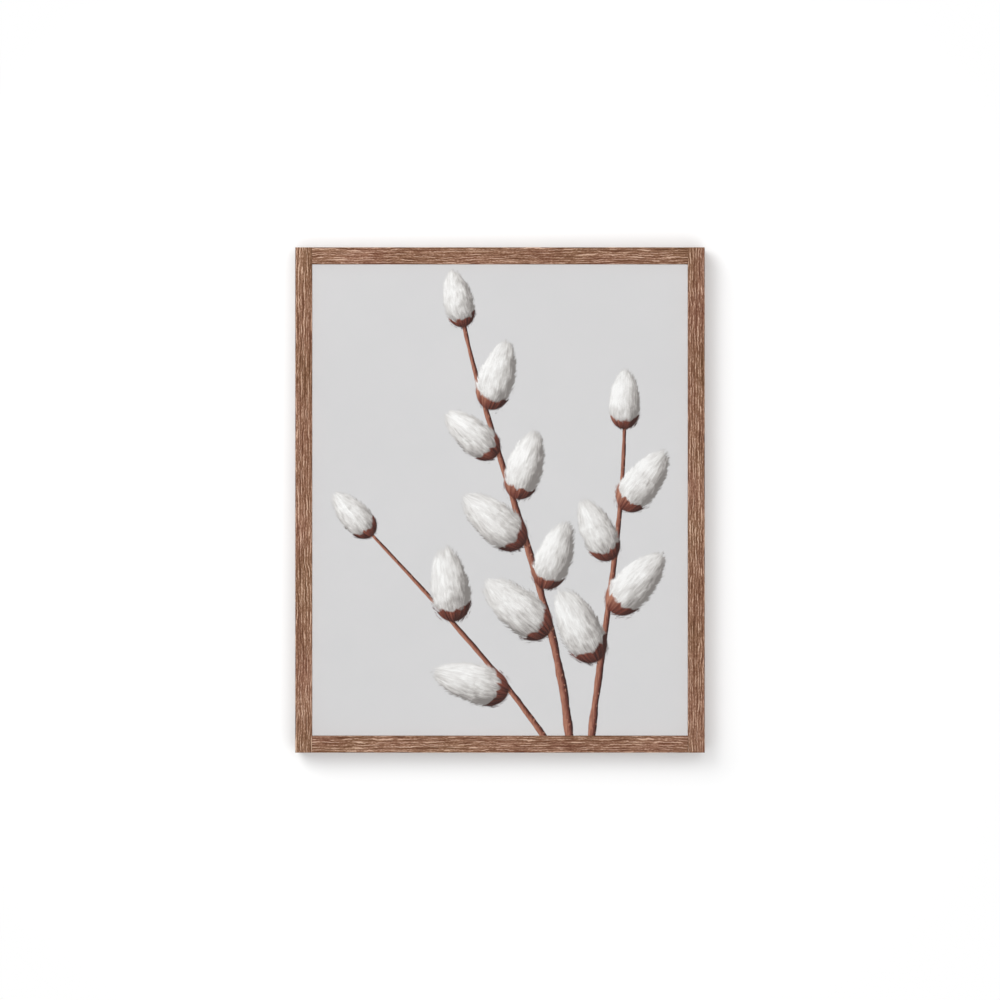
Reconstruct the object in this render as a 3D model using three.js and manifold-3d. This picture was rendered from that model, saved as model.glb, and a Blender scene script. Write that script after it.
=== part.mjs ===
// A framed print for the wall, 40 x 50 cm, upright. Two long stiles and two shorter rails, all cut from
// one rebated moulding, are butted and dowelled into a frame. From behind, the rebate takes a clear acrylic
// sheet, the print and a fibreboard back, which flexible steel points hold in. A sawtooth hanger on the top
// rail hooks over a nail in the wall, and two soft bumpers keep the foot of the frame off it.
//
// Millimetres, +Z up. The wall is the plane Y = 0, and the picture faces -Y. The origin is the point of the
// wall where the nail carries the middle notch of the hanger.

import * as THREE from "three";
import { mergeVertices } from "three/addons/utils/BufferGeometryUtils.js";
import Module from "manifold-3d";

const wasm = await Module();
wasm.setup();

// ---------------------------------------------------------------------------------------------------------
// Driving dimensions

const SHEET_WIDTH = 400; // the standard 40 x 50 cm sheet: print, acrylic and back are all cut to it
const SHEET_HEIGHT = 500;
const SHEET_PLAY = 1; // room between a sheet's edge and the rebate's wall, each side
const GLAZING_THICKNESS = 2;
const PRINT_THICKNESS = 0.3;
const BACKING_THICKNESS = 3;
const SEAT_GAP = 0.3; // between pieces that lie on each other or fit into each other

const MOULDING_FACE = 17.5; // how wide the wood looks from the front
const MOULDING_DEPTH = 22; // from the front to the back of the wood
const REBATE_WIDTH = 5; // how far the lip covers the sheets
const LIP_THICKNESS = 5; // wood in front of the rebate
const ARRIS = 0.5; // chamfer that eases the front edges

const BUMPER_THICKNESS = 3; // also the gap between the wood and the wall
const BUMPER_BASE_RADIUS = 5;
const BUMPER_TOP_RADIUS = 4.2;
const BUMPER_HEIGHT_UP_STILE = 20;

const DOWEL_RADIUS = 2.5;
const DOWEL_CHAMFER = 0.6;
const DOWEL_IN_RAIL = 20;
const DOWEL_IN_STILE = 9;
const DOWEL_DEPTHS = { front: 9.5, rear: 17.5 }; // behind the frame's front face

const POINT_THICKNESS = 0.6; // the flexible steel points
const POINT_WIDTH = 8;
const POINT_BITE = 5; // driven into the wood
const POINT_REACH = 9; // lying over the back board
const STILE_POINT_SPACING = 170;
const RAIL_POINT_SPACING = 220;

const HANGER_LENGTH = 48;
const HANGER_HEIGHT = 9;
const HANGER_STEEL = 0.8;
const HANGER_RISE = 1.9; // room behind the strip for the nail's head
const HANGER_FOOT = 7; // flat end that is screwed down
const HANGER_RAMP = 3;
const HANGER_TO_FRAME_TOP = 1.5;
const TOOTH_PITCH = 3;
const TOOTH_DEPTH = 1.5;
const TOOTH_COUNT = 9;

const SCREW_RADIUS = 0.9;
const SCREW_LENGTH = 10;
const SCREW_TIP = 2;
const SCREW_HEAD_RADIUS = 2.1;
const SCREW_HEAD_HEIGHT = 1.2;
const PAN_HEAD = [[1, 0.3], [0.8, 0.8], [0.4, 1]]; // its outline, as parts of the head's radius and height
const SCREW_SLOT_WIDTH = 0.55;
const SCREW_SLOT_LENGTH = 2.4;
const SCREW_SLOT_DEPTH = 0.6;

// ---------------------------------------------------------------------------------------------------------
// Where the main planes lie

const woodBack = -BUMPER_THICKNESS;
const woodFront = woodBack - MOULDING_DEPTH;
const lipBack = woodFront + LIP_THICKNESS;
const glazingFront = lipBack + SEAT_GAP;
const printFront = glazingFront + GLAZING_THICKNESS + SEAT_GAP;
const backingFront = printFront + PRINT_THICKNESS + SEAT_GAP;
const pointFront = backingFront + BACKING_THICKNESS + SEAT_GAP;

const rebateHalfWidth = SHEET_WIDTH / 2 + SHEET_PLAY;
const rebateHalfHeight = SHEET_HEIGHT / 2 + SHEET_PLAY;
const wallThickness = MOULDING_FACE - REBATE_WIDTH; // of the wood outside the rebate
const frameHalfWidth = rebateHalfWidth + wallThickness;
const frameHalfHeight = rebateHalfHeight + wallThickness;
const sightHalfWidth = frameHalfWidth - MOULDING_FACE;

const notchToHangerTop = HANGER_HEIGHT - TOOTH_DEPTH;
const frameTop = notchToHangerTop + HANGER_TO_FRAME_TOP;
const frameMiddle = frameTop - frameHalfHeight;
const frameBottom = frameMiddle - frameHalfHeight;

const ROUND_SIDES = 24;

// ---------------------------------------------------------------------------------------------------------
// Materials

const finish = (color, roughness, metalness = 0) =>
  new THREE.MeshStandardMaterial({ color, roughness, metalness });

const brownWood = finish(0x93705b, 0.65);
const acrylic = finish(0xf4f8f8, 0.05);
acrylic.transparent = true;
acrylic.opacity = 0.12;
const printedPaper = finish(0xd6d5d5, 0.8);
const fibreboard = finish(0x8a6a4a, 0.85);
const beech = finish(0xd2b48c, 0.7);
const zincSteel = finish(0xb8bcc0, 0.35, 1);
const brassedSteel = finish(0xb99a56, 0.35, 1);
const rubber = finish(0x3a3a3c, 0.8);

// ---------------------------------------------------------------------------------------------------------
// Solids

// A closed geometry as a solid that can be cut and joined.
function solid(geometry) {
  const bare = geometry.index ? geometry.toNonIndexed() : geometry.clone();
  bare.deleteAttribute("normal");
  bare.deleteAttribute("uv");
  const merged = mergeVertices(bare, 1e-4);
  return new wasm.Manifold(
    new wasm.Mesh({
      numProp: 3,
      vertProperties: new Float32Array(merged.attributes.position.array),
      triVerts: new Uint32Array(merged.index.array),
    }),
  );
}

// A solid as a named mesh of the picture.
function piece(name, shape, material) {
  const { vertProperties, triVerts } = shape.getMesh();
  const geometry = new THREE.BufferGeometry();
  geometry.setAttribute("position", new THREE.BufferAttribute(new Float32Array(vertProperties), 3));
  geometry.setIndex(new THREE.BufferAttribute(new Uint32Array(triVerts), 1));
  geometry.computeVertexNormals();
  const mesh = new THREE.Mesh(geometry, material);
  mesh.name = name;
  return mesh;
}

// Axis-aligned box between two values on each axis.
function box([x0, x1], [y0, y1], [z0, z1]) {
  const geometry = new THREE.BoxGeometry(x1 - x0, y1 - y0, z1 - z0);
  geometry.translate((x0 + x1) / 2, (y0 + y1) / 2, (z0 + z1) / 2);
  return solid(geometry);
}

// The matrix that turns local X, Y and Z onto three world directions, then moves the origin.
function basis(x, y, z, origin) {
  const [ax, ay, az] = [x, y, z].map((direction) => new THREE.Vector3(...direction));
  return new THREE.Matrix4().makeBasis(ax, ay, az).setPosition(...origin);
}

// The matrix of a move alone: a turned shape's axis stays along Y, and an extruded one still rises along Z.
const moved = (x, y, z) => new THREE.Matrix4().makeTranslation(x, y, z);

// A solid of revolution from [radius, height] points, which start and end on the axis.
function turned(profile, matrix) {
  const points = profile.map(([radius, height]) => new THREE.Vector2(radius, height));
  return solid(new THREE.LatheGeometry(points, ROUND_SIDES).applyMatrix4(matrix));
}

// A flat outline of [x, y] points, made length thick.
function extruded(outline, length, matrix) {
  const shape = new THREE.Shape(outline.map(([x, y]) => new THREE.Vector2(x, y)));
  const geometry = new THREE.ExtrudeGeometry(shape, { depth: length, bevelEnabled: false });
  return solid(geometry.applyMatrix4(matrix));
}

// ---------------------------------------------------------------------------------------------------------
// The moulding: its section goes from the outer edge (0) to the sight edge, and from the front (0) back.

const mouldingSection = [
  [ARRIS, 0],
  [MOULDING_FACE - ARRIS, 0],
  [MOULDING_FACE, ARRIS],
  [MOULDING_FACE, LIP_THICKNESS],
  [wallThickness, LIP_THICKNESS],
  [wallThickness, MOULDING_DEPTH],
  [0, MOULDING_DEPTH],
  [0, ARRIS],
];

// A stile runs the frame's whole height. side is -1 for the left one and 1 for the right one.
function stileBlank(side) {
  const section = mouldingSection.map(([inward, deep]) => [side * (frameHalfWidth - inward), woodFront + deep]);
  return extruded(section, frameTop - frameBottom, moved(0, 0, frameBottom));
}

// A rail runs between the rebates' walls. Its lip is cut back to the stiles' lips. up is 1 at the top and
// -1 at the bottom.
function railBlank(up) {
  const section = mouldingSection.map(([inward, deep]) => [up * (frameHalfHeight - inward), woodFront + deep]);
  const alongX = basis([0, 0, 1], [0, 1, 0], [-1, 0, 0], [rebateHalfWidth, 0, frameMiddle]);
  const rail = extruded(section, 2 * rebateHalfWidth, alongX);
  const past = MOULDING_FACE;
  const lipEnd = (side) =>
    box(
      side > 0 ? [sightHalfWidth, sightHalfWidth + past] : [-sightHalfWidth - past, -sightHalfWidth],
      [woodFront - past, lipBack],
      up > 0 ? [frameMiddle, frameTop + past] : [frameBottom - past, frameMiddle],
    );
  return rail.subtract(lipEnd(-1)).subtract(lipEnd(1));
}

// ---------------------------------------------------------------------------------------------------------
// Dowels: two at each corner, along X, half in the rail's end and half in the stile.

const corners = [];
for (const [level, up] of [["top", 1], ["bottom", -1]])
  for (const [hand, side] of [["left", -1], ["right", 1]])
    for (const [row, deep] of Object.entries(DOWEL_DEPTHS))
      corners.push({
        name: `dowel_${level}_${hand}_${row}`,
        up,
        side,
        y: woodFront + deep,
        z: frameMiddle + up * (frameHalfHeight - wallThickness / 2),
      });

// A round bar with eased ends along X, from the rail's side of the joint to the stile's, with room all round
// it for the hole.
function dowelBar({ side, y, z }, room) {
  const radius = DOWEL_RADIUS + room;
  const length = DOWEL_IN_RAIL + DOWEL_IN_STILE + 2 * room;
  const profile = [
    [0, 0],
    [radius - DOWEL_CHAMFER, 0],
    [radius, DOWEL_CHAMFER],
    [radius, length - DOWEL_CHAMFER],
    [radius - DOWEL_CHAMFER, length],
    [0, length],
  ];
  const start = [side * (rebateHalfWidth - DOWEL_IN_RAIL - room), y, z];
  return turned(profile, basis([0, -side, 0], [side, 0, 0], [0, 0, 1], start));
}

const dowel = (corner) => dowelBar(corner, 0);
const dowelHole = (corner) => dowelBar(corner, SEAT_GAP);

// ---------------------------------------------------------------------------------------------------------
// Flexible points: flat steel tongues, driven into the rebate's wall and lying over the back board.

const points = [];
for (const [hand, side] of [["left", -1], ["right", 1]])
  [1, 0, -1].forEach((step, i) =>
    points.push({
      name: `point_${hand}_${i + 1}`,
      inward: [-side, 0, 0],
      along: [0, 0, 1],
      seat: [side * rebateHalfWidth, pointFront, frameMiddle + step * STILE_POINT_SPACING],
    }),
  );
for (const [level, up] of [["top", 1], ["bottom", -1]])
  [-0.5, 0.5].forEach((step, i) =>
    points.push({
      name: `point_${level}_${i + 1}`,
      inward: [0, 0, -up],
      along: [1, 0, 0],
      seat: [step * RAIL_POINT_SPACING, pointFront, frameMiddle + up * rebateHalfHeight],
    }),
  );

// The tongue, from its square driven end to its round free end, with room all round it for the slot.
function tongue({ inward, along, seat }, room) {
  const half = POINT_WIDTH / 2 + room;
  const roundFrom = POINT_REACH - POINT_WIDTH / 2;
  const shape = new THREE.Shape();
  shape.moveTo(-POINT_BITE - room, -half);
  shape.lineTo(roundFrom, -half);
  shape.absarc(roundFrom, 0, half, -Math.PI / 2, Math.PI / 2, false);
  shape.lineTo(-POINT_BITE - room, half);
  const depth = POINT_THICKNESS + 2 * room;
  const geometry = new THREE.ExtrudeGeometry(shape, { depth, bevelEnabled: false, curveSegments: ROUND_SIDES / 3 });
  const facing = new THREE.Vector3(...inward).cross(new THREE.Vector3(...along));
  const start = [seat[0], facing.y > 0 ? seat[1] - room : seat[1] + POINT_THICKNESS + room, seat[2]];
  return solid(geometry.applyMatrix4(basis(inward, along, facing.toArray(), start)));
}

// ---------------------------------------------------------------------------------------------------------
// Sawtooth hanger: a strip with flat screwed feet and a raised middle, notched along its lower edge.

const hangerTop = notchToHangerTop;
const hangerBottom = -TOOTH_DEPTH;
const footMiddle = HANGER_LENGTH / 2 - HANGER_FOOT / 2;
const screwHeight = (hangerTop + hangerBottom) / 2;

function hanger() {
  const end = HANGER_LENGTH / 2;
  const rampFoot = end - HANGER_FOOT;
  const rampTop = rampFoot - HANGER_RAMP;
  const line = [
    [-end, 0],
    [-rampFoot, 0],
    [-rampTop, HANGER_RISE],
    [rampTop, HANGER_RISE],
    [rampFoot, 0],
    [end, 0],
  ];
  const strip = [...line, ...line.map(([x, y]) => [x, y + HANGER_STEEL]).reverse()];
  let shape = extruded(strip, HANGER_HEIGHT, moved(0, woodBack, hangerBottom));

  const cutDepth = HANGER_RISE + 3 * HANGER_STEEL;
  for (let i = 0; i < TOOTH_COUNT; i++) {
    const middle = (i - (TOOTH_COUNT - 1) / 2) * TOOTH_PITCH;
    const notch = [
      [middle - TOOTH_PITCH / 2, 0],
      [middle + TOOTH_PITCH / 2, 0],
      [middle, TOOTH_DEPTH],
    ];
    const fromBehind = basis([1, 0, 0], [0, 0, 1], [0, -1, 0], [0, woodBack + cutDepth, hangerBottom]);
    shape = shape.subtract(extruded(notch, cutDepth, fromBehind));
  }
  for (const side of [-1, 1]) shape = shape.subtract(screwHole(side));
  return shape;
}

// The straight hole for a screw, through the hanger's foot and into the rail.
function screwHole(side) {
  const radius = SCREW_RADIUS + SEAT_GAP;
  const length = SCREW_LENGTH + SEAT_GAP;
  const profile = [
    [0, 0],
    [radius, 0],
    [radius, length + HANGER_STEEL],
    [0, length + HANGER_STEEL],
  ];
  return turned(profile, moved(side * footMiddle, woodBack + HANGER_STEEL - length, screwHeight));
}

// A small pan-head wood screw with a cross recess, pointing into the wood.
function screw(side) {
  const profile = [
    [0, -SCREW_LENGTH],
    [SCREW_RADIUS, -SCREW_LENGTH + SCREW_TIP],
    [SCREW_RADIUS, 0],
    [SCREW_HEAD_RADIUS, 0],
    ...PAN_HEAD.map(([across, up]) => [across * SCREW_HEAD_RADIUS, up * SCREW_HEAD_HEIGHT]),
    [0, SCREW_HEAD_HEIGHT],
  ];
  const [x, y, z] = [side * footMiddle, woodBack + HANGER_STEEL, screwHeight];
  const shape = turned(profile, moved(x, y, z));
  const slot = (halfX, halfZ) =>
    box(
      [x - halfX, x + halfX],
      [y + SCREW_HEAD_HEIGHT - SCREW_SLOT_DEPTH, y + 2 * SCREW_HEAD_HEIGHT],
      [z - halfZ, z + halfZ],
    );
  const half = SCREW_SLOT_LENGTH / 2;
  return shape.subtract(slot(half, SCREW_SLOT_WIDTH / 2)).subtract(slot(SCREW_SLOT_WIDTH / 2, half));
}

// ---------------------------------------------------------------------------------------------------------
// Bumper: a low round button, stuck to the stile's back, whose flat top touches the wall.

function bumper(side) {
  const profile = [
    [0, 0],
    [BUMPER_BASE_RADIUS, 0],
    [BUMPER_BASE_RADIUS, BUMPER_THICKNESS / 3],
    [BUMPER_TOP_RADIUS, BUMPER_THICKNESS],
    [0, BUMPER_THICKNESS],
  ];
  const x = side * (frameHalfWidth - wallThickness / 2);
  return turned(profile, moved(x, woodBack, frameBottom + BUMPER_HEIGHT_UP_STILE));
}

// A flat sheet of the standard size, in the middle of the rebate.
const sheet = (front, thickness) =>
  box(
    [-SHEET_WIDTH / 2, SHEET_WIDTH / 2],
    [front, front + thickness],
    [frameMiddle - SHEET_HEIGHT / 2, frameMiddle + SHEET_HEIGHT / 2],
  );

// ---------------------------------------------------------------------------------------------------------
// The framed print

const picture = new THREE.Group();

const slot = (point) => tongue(point, SEAT_GAP);

for (const [name, side] of [["stile_left", -1], ["stile_right", 1]]) {
  const holes = corners.filter((corner) => corner.side === side).map(dowelHole);
  const slots = points.filter((point) => point.inward[0] === -side).map(slot);
  const wood = [...holes, ...slots].reduce((rest, cut) => rest.subtract(cut), stileBlank(side));
  picture.add(piece(name, wood, brownWood));
}

for (const [name, up] of [["rail_top", 1], ["rail_bottom", -1]]) {
  const holes = corners.filter((corner) => corner.up === up).map(dowelHole);
  const slots = points.filter((point) => point.inward[2] === -up).map(slot);
  const screwHoles = up > 0 ? [screwHole(-1), screwHole(1)] : [];
  const wood = [...holes, ...slots, ...screwHoles].reduce((rest, cut) => rest.subtract(cut), railBlank(up));
  picture.add(piece(name, wood, brownWood));
}

for (const corner of corners) picture.add(piece(corner.name, dowel(corner), beech));

picture.add(piece("glazing", sheet(glazingFront, GLAZING_THICKNESS), acrylic));
picture.add(piece("print", sheet(printFront, PRINT_THICKNESS), printedPaper));
picture.add(piece("backing_board", sheet(backingFront, BACKING_THICKNESS), fibreboard));

for (const point of points) picture.add(piece(point.name, tongue(point, 0), zincSteel));

picture.add(piece("sawtooth_hanger", hanger(), brassedSteel));
picture.add(piece("hanger_screw_left", screw(-1), zincSteel));
picture.add(piece("hanger_screw_right", screw(1), zincSteel));
picture.add(piece("bumper_left", bumper(-1), rubber));
picture.add(piece("bumper_right", bumper(1), rubber));

export default picture;
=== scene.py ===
from math import atan2, cos, pi, radians, sin

import bmesh
import bpy
import numpy as np
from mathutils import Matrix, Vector


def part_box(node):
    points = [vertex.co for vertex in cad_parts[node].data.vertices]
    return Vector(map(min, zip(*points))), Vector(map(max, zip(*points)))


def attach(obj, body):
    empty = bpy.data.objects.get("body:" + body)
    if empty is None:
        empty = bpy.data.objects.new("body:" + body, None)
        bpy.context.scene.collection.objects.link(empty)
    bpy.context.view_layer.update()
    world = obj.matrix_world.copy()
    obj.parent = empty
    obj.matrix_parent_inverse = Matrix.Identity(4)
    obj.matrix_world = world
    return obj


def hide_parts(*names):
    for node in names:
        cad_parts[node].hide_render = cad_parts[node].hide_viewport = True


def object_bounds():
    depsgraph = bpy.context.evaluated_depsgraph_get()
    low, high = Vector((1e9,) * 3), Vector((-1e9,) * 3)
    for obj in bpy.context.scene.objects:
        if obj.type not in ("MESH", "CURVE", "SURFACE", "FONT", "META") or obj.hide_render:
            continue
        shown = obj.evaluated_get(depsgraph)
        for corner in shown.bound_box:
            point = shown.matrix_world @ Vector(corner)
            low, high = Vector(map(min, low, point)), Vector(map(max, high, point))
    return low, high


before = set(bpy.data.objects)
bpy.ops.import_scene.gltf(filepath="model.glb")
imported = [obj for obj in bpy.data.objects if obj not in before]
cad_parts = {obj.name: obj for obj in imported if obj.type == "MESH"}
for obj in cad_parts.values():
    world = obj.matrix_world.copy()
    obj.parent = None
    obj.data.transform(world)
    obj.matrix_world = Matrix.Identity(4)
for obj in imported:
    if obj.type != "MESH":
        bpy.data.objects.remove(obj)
cad_low, cad_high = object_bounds()

# ---------------------------------------------------------------------------------------------------------
# Stiles and rails
# Solid wood moulding, stained walnut brown and wire-brushed into wavy grooves, but for the planed back and
# rebate. The stiles run the frame's whole height. The rails butt between them, with a hair-fine seam.

MM = 0.001
stile_low, stile_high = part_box("stile_left")
_, rail_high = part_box("rail_top")
FACE = stile_high.x - stile_low.x
DEPTH = stile_high.y - stile_low.y
REBATE = rail_high.x + stile_high.x  # the rail reaches past the stile's sight edge by the rebate's width
LIP = 5 * MM  # wood in front of the rebate
ARRIS = 0.5 * MM  # rounding of the two long front edges
SEAM = 0.15 * MM  # easing of the cut ends
SQUARE_ON = 0.9  # the least share of a face's normal along an axis, for the face to look that way


def pick(piece, kind, test):
    """In edit mode, selects just the faces or edges of a piece that pass a test."""
    bpy.ops.mesh.select_mode(type="FACE" if kind == "faces" else "EDGE")
    bpy.ops.mesh.select_all(action="DESELECT")
    shell = bmesh.from_edit_mesh(piece.data)
    shell.normal_update()
    for element in getattr(shell, kind):
        if test(element):
            element.select_set(True)
    bmesh.update_edit_mesh(piece.data)


def run(edge):
    """How far an edge runs along X, Y and Z."""
    return [abs(d) for d in edge.verts[1].co - edge.verts[0].co]


def apply_modifiers(piece):
    bpy.context.view_layer.objects.active = piece
    for modifier in list(piece.modifiers):
        bpy.ops.object.modifier_apply(modifier=modifier.name)


def looks(face, axis, way=1):
    """Whether a face looks along an axis: 0 is X, 1 is Y, 2 is Z."""
    return face.normal[axis] * way > SQUARE_ON


def moulding(name, length, shoulder):
    """A straight length of moulding along Z. X goes in from its outer edge and Y goes back from its face.
    Behind the lip, the wood runs on by the shoulder at each end."""
    bpy.ops.object.select_all(action="DESELECT")
    bpy.ops.mesh.primitive_cube_add(size=1, location=(FACE / 2, LIP / 2, 0))
    piece = bpy.context.object
    piece.name = piece.data.name = name
    piece.scale = (FACE, LIP, length)
    bpy.ops.object.transform_apply(location=True, rotation=True, scale=True)
    bpy.ops.object.mode_set(mode="EDIT")

    # the wall behind the lip, drawn out of the lip's back
    pick(piece, "faces", lambda face: looks(face, 1))
    bpy.ops.mesh.bisect(plane_co=(FACE - REBATE, 0, 0), plane_no=(1, 0, 0))
    pick(piece, "faces", lambda face: looks(face, 1) and face.calc_center_median().x < FACE - REBATE)
    bpy.ops.mesh.extrude_region_move(TRANSFORM_OT_translate={"value": (0, DEPTH - LIP, 0)})
    if shoulder:
        for way in (-1, 1):
            pick(piece, "faces", lambda face: looks(face, 2, way) and face.calc_center_median().y > LIP)
            bpy.ops.mesh.extrude_region_move(TRANSFORM_OT_translate={"value": (0, 0, way * shoulder)})

    def on_front(edge):
        return max(v.co.y for v in edge.verts) < ARRIS / 10

    # eased edges: the two long front ones, then the cut ends of the face
    pick(piece, "edges", lambda edge: on_front(edge) and run(edge)[2] > length / 2)
    bpy.ops.mesh.bevel(offset=ARRIS, segments=3, affect="EDGES")
    pick(piece, "edges", lambda edge: on_front(edge) and run(edge)[0] > FACE / 2)
    bpy.ops.mesh.bevel(offset=SEAM, segments=1, affect="EDGES")
    bpy.ops.object.mode_set(mode="OBJECT")
    return piece


GRAIN_STEP = 0.5 * MM  # width of the mesh's strips on the brushed faces
LONG_CUTS, SHORT_CUTS = 100, 2  # across the length, in two rounds


def strip(piece, length):
    """Cuts a moulding into strips fine enough for its grooves, and gathers its brushed points in a group."""
    bpy.ops.object.mode_set(mode="EDIT")
    pick(piece, "edges", lambda edge: run(edge)[2] > length / 2)
    bpy.ops.mesh.subdivide(number_cuts=LONG_CUTS)
    pick(piece, "edges", lambda edge: run(edge)[2] > length / (2 * LONG_CUTS))
    bpy.ops.mesh.subdivide(number_cuts=SHORT_CUTS)

    def brushed(vertex):
        """Whether a point lies on the front, the outside or the sight edge."""
        return vertex.co.y < SEAM or vertex.co.x < SEAM or vertex.co.x > FACE - SEAM

    def crosses(edge):
        """Whether an edge runs across a brushed face."""
        along = run(edge)
        return along[2] < SEAM and max(along) > 4 * ARRIS and all(brushed(v) for v in edge.verts)

    shell = bmesh.from_edit_mesh(piece.data)
    widths = {round(edge.calc_length() / GRAIN_STEP) for edge in shell.edges if crosses(edge)}
    for strips in sorted(widths):
        pick(piece, "edges", lambda edge: crosses(edge) and round(edge.calc_length() / GRAIN_STEP) == strips)
        bpy.ops.mesh.subdivide(number_cuts=strips - 1)
    bpy.ops.object.mode_set(mode="OBJECT")

    group = piece.vertex_groups.new(name="brushed")
    group.add([v.index for v in piece.data.vertices if brushed(v)], 1.0, "REPLACE")


GROOVE_DEPTH = 0.22 * MM
FIBRE_DEPTH = 0.12 * MM
BRUSH_MARKS = (  # name, spacing across and along the grain, depth
    ("grooves", 1.5 * MM, 22 * MM, GROOVE_DEPTH),
    ("fibres", 1.0 * MM, 9 * MM, FIBRE_DEPTH),
)
MARK_WAVINESS = 1.2
MARK_START, MARK_FULL = 0.4, 0.7  # the noise at which a mark starts, and at which it is full deep


def brush(piece, offset):
    """Sinks wavy grooves and fine fibres into the brushed faces, and keeps how deep each point went."""
    before = np.zeros(len(piece.data.vertices) * 3)
    piece.data.vertices.foreach_get("co", before)
    bpy.ops.object.select_all(action="DESELECT")
    for name, across, along, depth in BRUSH_MARKS:
        bpy.ops.object.empty_add(location=(0, 0, offset))
        scaler = bpy.context.object
        scaler.scale = (across, across, along)
        texture = bpy.data.textures.new(f"{piece.name}_{name}", "DISTORTED_NOISE")
        texture.noise_scale = 1
        texture.distortion = MARK_WAVINESS
        texture.use_color_ramp = True
        start, full = texture.color_ramp.elements
        start.position, start.color = MARK_START, (0, 0, 0, 1)
        full.position, full.color = MARK_FULL, (1, 1, 1, 1)
        sink = piece.modifiers.new(name, "DISPLACE")
        sink.texture = texture
        sink.texture_coords = "OBJECT"
        sink.texture_coords_object = scaler
        sink.vertex_group = "brushed"
        sink.mid_level = 0
        sink.strength = -depth
        bpy.context.view_layer.update()
        apply_modifiers(piece)
        bpy.data.objects.remove(scaler)
    after = np.zeros_like(before)
    piece.data.vertices.foreach_get("co", after)
    sunk = np.linalg.norm((after - before).reshape(-1, 3), axis=1)
    groove = piece.data.attributes.new("groove", "FLOAT", "POINT")
    groove.data.foreach_set("value", (sunk / (GROOVE_DEPTH + FIBRE_DEPTH)).astype(np.float32))


class Recipe:
    """The nodes of a material or of a node group, added one at a time."""

    def __init__(self, tree):
        self.tree = tree

    def add(self, kind, inputs=(), output=0, **settings):
        """One node. Each input is a number, a colour, a vector or another node's output."""
        made = self.tree.nodes.new(kind)
        for name, value in settings.items():
            setattr(made, name, value)
        for socket, value in dict(inputs).items():
            if isinstance(value, bpy.types.NodeSocket):
                self.tree.links.new(value, made.inputs[socket])
            else:
                made.inputs[socket].default_value = value
        return made.outputs[output]

    def maths(self, operation, *values):
        return self.add("ShaderNodeMath", enumerate(values), operation=operation)

    def vectors(self, operation, *values):
        return self.add("ShaderNodeVectorMath", enumerate(values), operation=operation)

    def around(self, value, size, middle=0.0):
        """A noise of 0 to 1, stretched to a size about a middle."""
        return self.maths("MULTIPLY_ADD", value, size, middle - size / 2)

    def parts(self, vector):
        """The X, Y and Z outputs of a vector."""
        split = self.add("ShaderNodeSeparateXYZ", {0: vector}).node
        return list(split.outputs)

    def noise(self, point, scale=1.0, detail=2.0, rough=0.5, warp=0.0):
        values = {"Vector": point, "Scale": scale, "Detail": detail, "Roughness": rough, "Distortion": warp}
        return self.add("ShaderNodeTexNoise", values)

    def range(self, value, low, high, to_low=0.0, to_high=1.0, smooth=False):
        steps = "SMOOTHSTEP" if smooth else "LINEAR"
        values = {0: value, 1: low, 2: high, 3: to_low, 4: to_high}
        return self.add("ShaderNodeMapRange", values, interpolation_type=steps)

    def blend(self, share, first, second, way="MIX"):
        """Two colours mixed, by the second one's share."""
        values = {0: share, 6: first, 7: second}
        return self.add("ShaderNodeMix", values, 2, data_type="RGBA", blend_type=way)

    def ramp(self, value, *stops):
        """A colour looked up between (place, colour) stops."""
        out = self.add("ShaderNodeValToRGB", {0: value})
        elements = out.node.color_ramp.elements
        for _ in range(len(stops) - 2):
            elements.new(0.5)
        for element, (place, colour) in zip(elements, stops):
            element.position = place
            element.color = (*colour, 1)
        return out

    def object_point(self, origin=(0, 0, 0), turn=0.0, scale=1.0):
        """The point being shaded, counted from an origin, in a frame turned about Y, in units of scale."""
        point = self.add("ShaderNodeTexCoord", output=3)
        values = {"Vector": point, "Location": origin, "Rotation": (0, turn, 0), "Scale": [scale] * 3}
        return self.add("ShaderNodeMapping", values, vector_type="TEXTURE")

    def bump(self, height, depth):
        """A normal from a height of 0 to 1, which stands for a depth in metres."""
        return self.add("ShaderNodeBump", {"Height": height, "Distance": depth, "Strength": 1.0})


def material(name, **values):
    """A new material with its Recipe and Principled shader, whose plain values are set here."""
    made = bpy.data.materials.new(name)
    made.use_nodes = True
    shader = made.node_tree.nodes["Principled BSDF"]
    for socket, value in values.items():
        shader.inputs[socket.replace("_", " ").title().replace("Ior", "IOR")].default_value = value
    return made, Recipe(made.node_tree), shader


def connect(recipe, shader, **sockets):
    """Leads outputs into the Principled shader's sockets."""
    for socket, output in sockets.items():
        recipe.tree.links.new(output, shader.inputs[socket.replace("_", " ").title()])


# Stained walnut from its darkest pores to its palest fibres.
STAIN = (
    (0.0, (0.07, 0.022, 0.008)),
    (0.2, (0.115, 0.043, 0.02)),
    (0.4, (0.175, 0.08, 0.044)),
    (0.52, (0.215, 0.105, 0.06)),
    (0.66, (0.275, 0.148, 0.09)),
    (0.84, (0.42, 0.255, 0.172)),
    (1.0, (0.62, 0.42, 0.31)),
)
STAIN_RED = (0.26, 0.105, 0.075)  # the two casts that drift along it
STAIN_OLIVE = (0.215, 0.125, 0.06)
CAST_SHARE = 0.2
PLANED_WOOD = (0.27, 0.16, 0.105, 1)
PLANED_SHARE = 0.4
LINE_SPACING = 2.7  # mm, on average
LINE_SLANT = 0.8  # how far the lines shift sideways, per depth
# the lines of painted shade and painted highlight, laid as if the grooves were lit from one side
SHADE_LINE, HIGHLIGHT_LINE = (0.4, 0.24), (0.78, 0.2)  # middle and half width, in shares of the spacing
MIDDLE_TONE = 0.475  # on the scale of STAIN
FIBRE_TONE, FLECK_TONE, BAND_TONE = 1.5, 1.2, 0.6  # how widely each noise spreads the tone
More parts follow.
